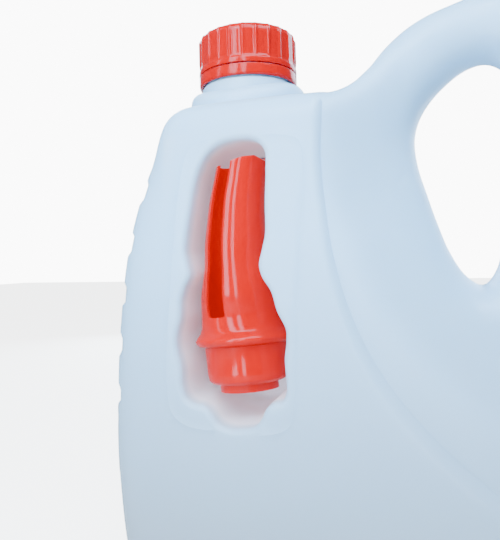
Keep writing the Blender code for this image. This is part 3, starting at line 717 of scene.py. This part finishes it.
# ---- Materials ------------------------------------------------------------------------------------
class Finish:
    """A Principled material with short calls for the nodes that feed it."""

    def __init__(self, name):
        self.made = bpy.data.materials.new(name)
        self.made.use_nodes = True
        self.tree = self.made.node_tree
        self.shader = self.tree.nodes["Principled BSDF"]
        self.place = self.node("ShaderNodeTexCoord").outputs["Object"]

    def node(self, kind, settings=None, **inputs):
        made = self.tree.nodes.new(kind)
        for key, value in (settings or {}).items():
            setattr(made, key, value)
        for key, value in inputs.items():
            socket = made.inputs[key.replace("_", " ")]
            if isinstance(value, bpy.types.NodeSocket):
                self.tree.links.new(value, socket)
            else:
                socket.default_value = value
        return made

    def noise(self, size_mm, detail=2.0, roughness=0.5, place=None):
        """Noise from 0 to 1 whose grain is about size_mm wide."""
        made = self.node("ShaderNodeTexNoise", Vector=place or self.place, Scale=1000 / size_mm,
                         Detail=detail, Roughness=roughness)
        return made.outputs["Fac"]

    def spread(self, value, low, high, to_low=0.0, to_high=1.0):
        made = self.node("ShaderNodeMapRange", Value=value)
        for key, number in (("From Min", low), ("From Max", high), ("To Min", to_low), ("To Max", to_high)):
            made.inputs[key].default_value = number
        return made.outputs["Result"]

    def math(self, operation, first, second=0.0):
        made = self.node("ShaderNodeMath", {"operation": operation})
        for socket, value in zip(made.inputs, (first, second)):
            if isinstance(value, bpy.types.NodeSocket):
                self.tree.links.new(value, socket)
            else:
                socket.default_value = value
        return made.outputs[0]

    def mix(self, factor, first, second):
        made = self.node("ShaderNodeMix", {"data_type": "RGBA"})
        self.tree.links.new(factor, made.inputs[0])
        for socket, value in zip((made.inputs[6], made.inputs[7]), (first, second)):
            if isinstance(value, bpy.types.NodeSocket):
                self.tree.links.new(value, socket)
            else:
                socket.default_value = (*value, 1)
        return made.outputs[2]

    def bump(self, height, depth_mm, normal=None):
        made = self.node("ShaderNodeBump", Height=height, Distance=depth_mm * MM, Strength=1.0)
        if normal:
            self.tree.links.new(normal, made.inputs["Normal"])
        return made.outputs["Normal"]

    def feed(self, name, value):
        if isinstance(value, bpy.types.NodeSocket):
            self.tree.links.new(value, self.shader.inputs[name])
        else:
            self.shader.inputs[name].default_value = value


def pocket_glow_share(f):
    """1 on the walls of the spout's pocket, where a lighter colour and a pinkish glow are painted to stand
    in for daylight shining through them, and 0 elsewhere.
    """
    parts = f.node("ShaderNodeSeparateXYZ", Vector=f.place)
    share = f.math("MULTIPLY", f.spread(parts.outputs["Y"], -0.0545, -0.047),
                   f.spread(parts.outputs["Y"], -0.006, 0.0, 1.0, 0.0))
    for axis, middle, half in zip("XZ", POCKET_MIDDLE, POCKET_HALF):
        away = f.math("ABSOLUTE", f.math("SUBTRACT", parts.outputs[axis], middle * MM))
        share = f.math("MULTIPLY", share, f.spread(away, half * MM, (half + 4) * MM, 1.0, 0.0))
    return share


def milky_plastic():
    """Blow-moulded polyethylene: cloudy, faintly blue, with a fine grain, soft waves and a parting line;
    painted shade darkens it towards the bottom and painted light brightens the pocket's walls.
    """
    f = Finish("milky_polyethylene")
    cloud = f.noise(60, 2)
    speck = f.spread(f.noise(2.2, 3), 0.62, 0.75)
    colour = f.mix(f.spread(cloud, 0.3, 0.7), (0.36, 0.60, 0.80), (0.39, 0.63, 0.83))
    colour = f.mix(f.math("MULTIPLY", speck, 0.05), colour, (0.29, 0.45, 0.62))
    height = f.node("ShaderNodeSeparateXYZ", Vector=f.place).outputs["Z"]
    # Painted shade: the lower jug is darkened and greyed, standing in for less light reaching it.
    colour = f.mix(f.spread(height, 0.05, 0.2, 0.9, 0.0), colour, (0.25, 0.27, 0.29))
    painted_pocket_light = pocket_glow_share(f)
    # Painted light: the pocket's walls get a lighter colour, standing in for daylight that comes through
    # them.
    colour = f.mix(painted_pocket_light, colour, (0.70, 0.68, 0.70))
    f.feed("Base Color", colour)
    f.feed("Roughness", f.spread(f.noise(9, 3), 0.3, 0.7, 0.36, 0.46))
    f.feed("IOR", 1.5)
    f.feed("Subsurface Weight", 0.7)
    f.feed("Subsurface Radius", (1.0, 0.8, 0.7))
    f.feed("Subsurface Scale", 0.012)
    # Painted light: a pinkish glow on the pocket's walls, though they are no lamp.
    f.feed("Emission Color", f.mix(painted_pocket_light, (0, 0, 0), (1.0, 0.80, 0.92)))
    f.feed("Emission Strength", POCKET_GLOW)
    y = f.node("ShaderNodeSeparateXYZ", Vector=f.place).outputs["Y"]
    parting = f.spread(f.math("ABSOLUTE", y), 0.00008, 0.0003, 1.0, 0.0)
    normal = f.bump(f.noise(22, 1), 0.25)
    normal = f.bump(f.noise(1.1, 2, 0.6), 0.035, normal)
    f.feed("Normal", f.bump(parting, 0.12, normal))
    return f.made


def red_plastic(name, colour, dark, roughness):
    """Moulded polypropylene: glossy, with faint flow marks, rubbed dust and an almost smooth skin, and a
    painted red glow on points marked as an inner wall.
    """
    f = Finish(name)
    stretched = f.node("ShaderNodeMapping", Vector=f.place, Scale=(1, 1, 0.12)).outputs["Vector"]
    flow = f.noise(5, 3, 0.5, stretched)
    f.feed("Base Color", f.mix(f.spread(flow, 0.3, 0.7), dark, colour))
    f.feed("Roughness", f.spread(f.noise(4, 4, 0.6), 0.3, 0.75, roughness, roughness + 0.06))
    f.feed("IOR", 1.5)
    f.feed("Specular IOR Level", 0.2)
    f.feed("Subsurface Weight", 0.5)
    f.feed("Subsurface Radius", (1.0, 0.12, 0.05))
    f.feed("Subsurface Scale", 0.004)
    # Painted light: a red glow on the spout's inner wall, standing in for light that comes through the wall.
    inner = f.node("ShaderNodeAttribute", {"attribute_name": "inside"}).outputs["Fac"]
    f.feed("Emission Color", f.mix(inner, (0, 0, 0), (1.0, 0.004, 0.002)))
    f.feed("Emission Strength", SPOUT_GLOW)
    normal = f.bump(f.noise(6, 1), 0.05)
    f.feed("Normal", f.bump(f.noise(0.7, 2), 0.006, normal))
    return f.made


def foam():
    """The liner's closed-cell foam, pitted with small cells."""
    f = Finish("white_foam")
    cells = f.node("ShaderNodeTexVoronoi", Vector=f.place, Scale=1400.0).outputs["Distance"]
    f.feed("Base Color", f.mix(f.spread(cells, 0.1, 0.7), (0.72, 0.72, 0.70), (0.86, 0.86, 0.84)))
    f.feed("Roughness", f.spread(cells, 0, 1, 0.6, 0.8))
    f.feed("Normal", f.bump(cells, 0.08))
    return f.made


# ---- Set ------------------------------------------------------------------------------------------
DAYLIGHT = (0.62, 0.80, 1.0)
ROOM_LIGHT = 0.56
PAPER_WHITE = 13.0  # how bright the camera sees the background
FLOOR_GLOW = 4.4  # what the camera sees the floor brighter by
FLOOR_HALF = 4000
LIGHT_AIM = Vector((-0.03, 0, 0.2))


def floor():
    """White paper under the bottle, lifted towards white where the camera sees it."""
    f = Finish("pale_floor")
    f.feed("Base Color", f.mix(f.noise(300, 2), (0.62, 0.58, 0.53), (0.65, 0.61, 0.56)))
    f.feed("Roughness", 0.8)
    f.feed("Emission Color", (1, 1, 1, 1))
    seen = f.node("ShaderNodeLightPath").outputs["Is Camera Ray"]
    f.feed("Emission Strength", f.math("MULTIPLY", seen, FLOOR_GLOW))
    h = FLOOR_HALF
    plane = make_object("floor", [(-h, -h, 0), (h, -h, 0), (h, h, 0), (-h, h, 0)], [(0, 1, 2, 3)], f.made)
    plane.location.z = -0.0002


def softbox(name, turn, away, height, width, tall, power):
    """An upright area light that stands round the bottle at an angle from +X and faces it."""
    light = bpy.data.lights.new(name, "AREA")
    light.shape = "RECTANGLE"
    light.size, light.size_y = width, tall
    light.energy = power
    light.color = DAYLIGHT
    obj = bpy.data.objects.new(name, light)
    bpy.context.scene.collection.objects.link(obj)
    obj.visible_camera = False
    turn = math.radians(turn)
    obj.location = (away * math.cos(turn) + LIGHT_AIM.x, away * math.sin(turn), height)
    aim = LIGHT_AIM - obj.location
    obj.rotation_euler = aim.to_track_quat("-Z", "Y").to_euler()


def lights():
    world = bpy.data.worlds.new("white_room")
    bpy.context.scene.world = world
    world.use_nodes = True
    tree = world.node_tree
    room = tree.nodes["Background"]
    room.inputs["Color"].default_value = (*DAYLIGHT, 1)
    room.inputs["Strength"].default_value = ROOM_LIGHT
    paper = tree.nodes.new("ShaderNodeBackground")
    paper.inputs["Strength"].default_value = PAPER_WHITE
    seen = tree.nodes.new("ShaderNodeLightPath").outputs["Is Camera Ray"]
    mix = tree.nodes.new("ShaderNodeMixShader")
    for socket, source in zip(mix.inputs, (seen, room.outputs[0], paper.outputs[0])):
        tree.links.new(source, socket)
    tree.links.new(mix.outputs[0], tree.nodes["World Output"].inputs["Surface"])
    softbox("window_left", -104, 0.55, 0.36, 0.15, 0.68, 6.6)
    softbox("window_right", -80, 0.55, 0.36, 0.095, 0.68, 3.7)
    softbox("side_window", -140, 0.55, 0.36, 0.065, 0.68, 1.2)
    softbox("overhead", -56, 0.40, 0.74, 0.8, 0.3, 12)
    softbox("back_left", 122, 1.0, 0.55, 0.5, 0.9, 16)
    softbox("back_right", 66, 1.0, 0.55, 0.5, 0.9, 12)


def camera():
    """A camera in front of the neck and a little to the handle side, level with the pocket."""
    turn, pitch, roll = (math.radians(a) for a in (20.5, -1.3, -1.5))
    ahead = Vector((-math.sin(turn), math.cos(turn), 0))
    right = Vector((math.cos(turn), math.sin(turn), 0))
    up = Vector((0, 0, 1))
    view = ahead * math.cos(pitch) + up * math.sin(pitch)
    top = up * math.cos(pitch) - ahead * math.sin(pitch)
    place = (Vector((NECK_X, 0, 192)) - 277 * ahead - 1.6 * right) * MM
    lens = bpy.data.cameras.new("camera")
    lens.sensor_width = 36
    lens.lens = 527 / 540 * 36
    lens.clip_start = 0.01
    obj = bpy.data.objects.new("camera", lens)
    bpy.context.scene.collection.objects.link(obj)
    turned_to = Matrix((right, top, -view)).transposed() @ Matrix.Rotation(roll, 3, "Z")
    obj.matrix_world = Matrix.Translation(place) @ turned_to.to_4x4()
    bpy.context.scene.camera = obj


def main():
    camera()
    milky = milky_plastic()
    cap_red = red_plastic("red_cap_plastic", (0.50, 0.001, 0.0003), (0.46, 0.001, 0.0003), 0.08)
    ring_red = red_plastic("red_ring_plastic", (0.52, 0.001, 0.0003), (0.47, 0.001, 0.0003), 0.12)
    spout_red = red_plastic("red_spout_plastic", (0.55, 0.001, 0.0003), (0.50, 0.001, 0.0003), 0.07)
    fit_out(jug(milky), "bottle", "milky_bottle", "bottle_body")
    fit_out(thread("neck_thread", NECK_ROOT_R, NECK_ROOT_R + THREAD_HEIGHT, NECK_THREAD_Z, milky),
            "bottle", "milky_bottle")
    fit_out(loft("cap", cap_rings(), cap_red), "cap", "red_cap", "screw_cap")
    fit_out(thread("cap_thread", CAP_INNER_R, CAP_INNER_R - THREAD_HEIGHT, CAP_THREAD_Z, cap_red),
            "cap", "red_cap")
    fit_out(tamper_ring(ring_red), "ring", "red_ring", "tamper_evident_ring")
    fit_out(pour_spout(spout_red), "spout", "red_spout", "pour_spout")
    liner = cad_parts["cap_liner"]
    liner.data.materials.clear()
    liner.data.materials.append(foam())
    floor()
    lights()


main()
